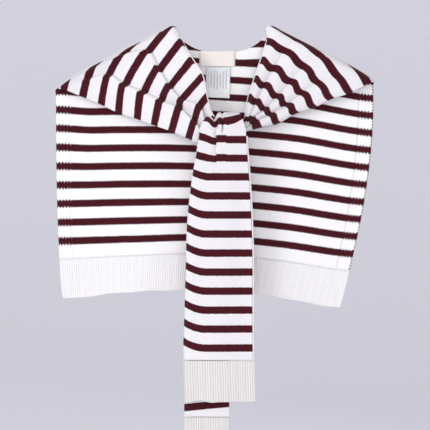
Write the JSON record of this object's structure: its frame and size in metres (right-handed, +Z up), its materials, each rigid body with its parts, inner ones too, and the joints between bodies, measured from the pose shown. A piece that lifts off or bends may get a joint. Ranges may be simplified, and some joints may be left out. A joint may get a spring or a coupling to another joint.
{
  "type": "shoulder shawl",
  "caption": "Knitted striped shoulder shawl: a back panel and two front panels that meet in a half knot and end in long ribbed ties.",
  "frame": {"origin": "midway between the two neck points, where the two shoulder lines start", "axes": "+Z up, +X to the right as the shawl is seen from its front, front faces -Y"},
  "size_m": [0.4416, 0.0562, 0.5949],
  "materials": {
    "striped_jersey": "fine-gauge plain knit, white with burgundy stripes, matt",
    "white_rib": "one by one rib knit, matt",
    "white_selvedge": "slipped-stitch knitted edge, matt",
    "linking_thread": "linked chain of knitting yarn and sewing thread",
    "woven_label": "blank woven damask label",
    "satin_label": "satin ribbon, slightly glossy"
  },
  "bodies": {
    "shawl": {"back_panel": "striped_jersey", "back_side_band_left": "striped_jersey", "back_side_band_right": "striped_jersey", "back_hem_rib": "white_rib", "back_neck_edge": "striped_jersey", "shoulder_seam_left": "linking_thread", "shoulder_seam_right": "linking_thread", "left_front_panel": "striped_jersey", "right_front_panel": "striped_jersey", "left_front_neck_edge": "white_selvedge", "right_front_neck_edge": "white_selvedge", "left_front_crossing": "striped_jersey", "right_front_crossing": "striped_jersey", "knot_wrap": "striped_jersey", "front_tie_turn": "striped_jersey", "brand_label": "woven_label", "label_stitch_left": "linking_thread", "label_stitch_right": "linking_thread"},
    "front_tail": {"front_tie": "striped_jersey", "front_tie_selvedge": "white_selvedge", "front_tie_rib": "white_rib"},
    "rear_tail": {"rear_tie": "striped_jersey", "rear_tie_rib": "white_rib"},
    "care_tag": {"care_label": "satin_label"}
  },
  "joints": [
    {"name": "front_tail_lift", "type": "hinge", "parent": "shawl", "child": "front_tail", "pos_m": [0.001, -0.0418, -0.1518], "axis": [-1, 0, 0], "range_deg": [0, 70]},
    {"name": "rear_tail_sway", "type": "hinge", "parent": "shawl", "child": "rear_tail", "pos_m": [-0.0205, -0.0176, -0.183], "axis": [0, 1, 0], "range_deg": [-15, 15]},
    {"name": "care_label_lift", "type": "hinge", "parent": "shawl", "child": "care_tag", "pos_m": [-0.005, 0.00675, -0.0553], "axis": [-1, 0, 0], "range_deg": [0, 150]}
  ]
}
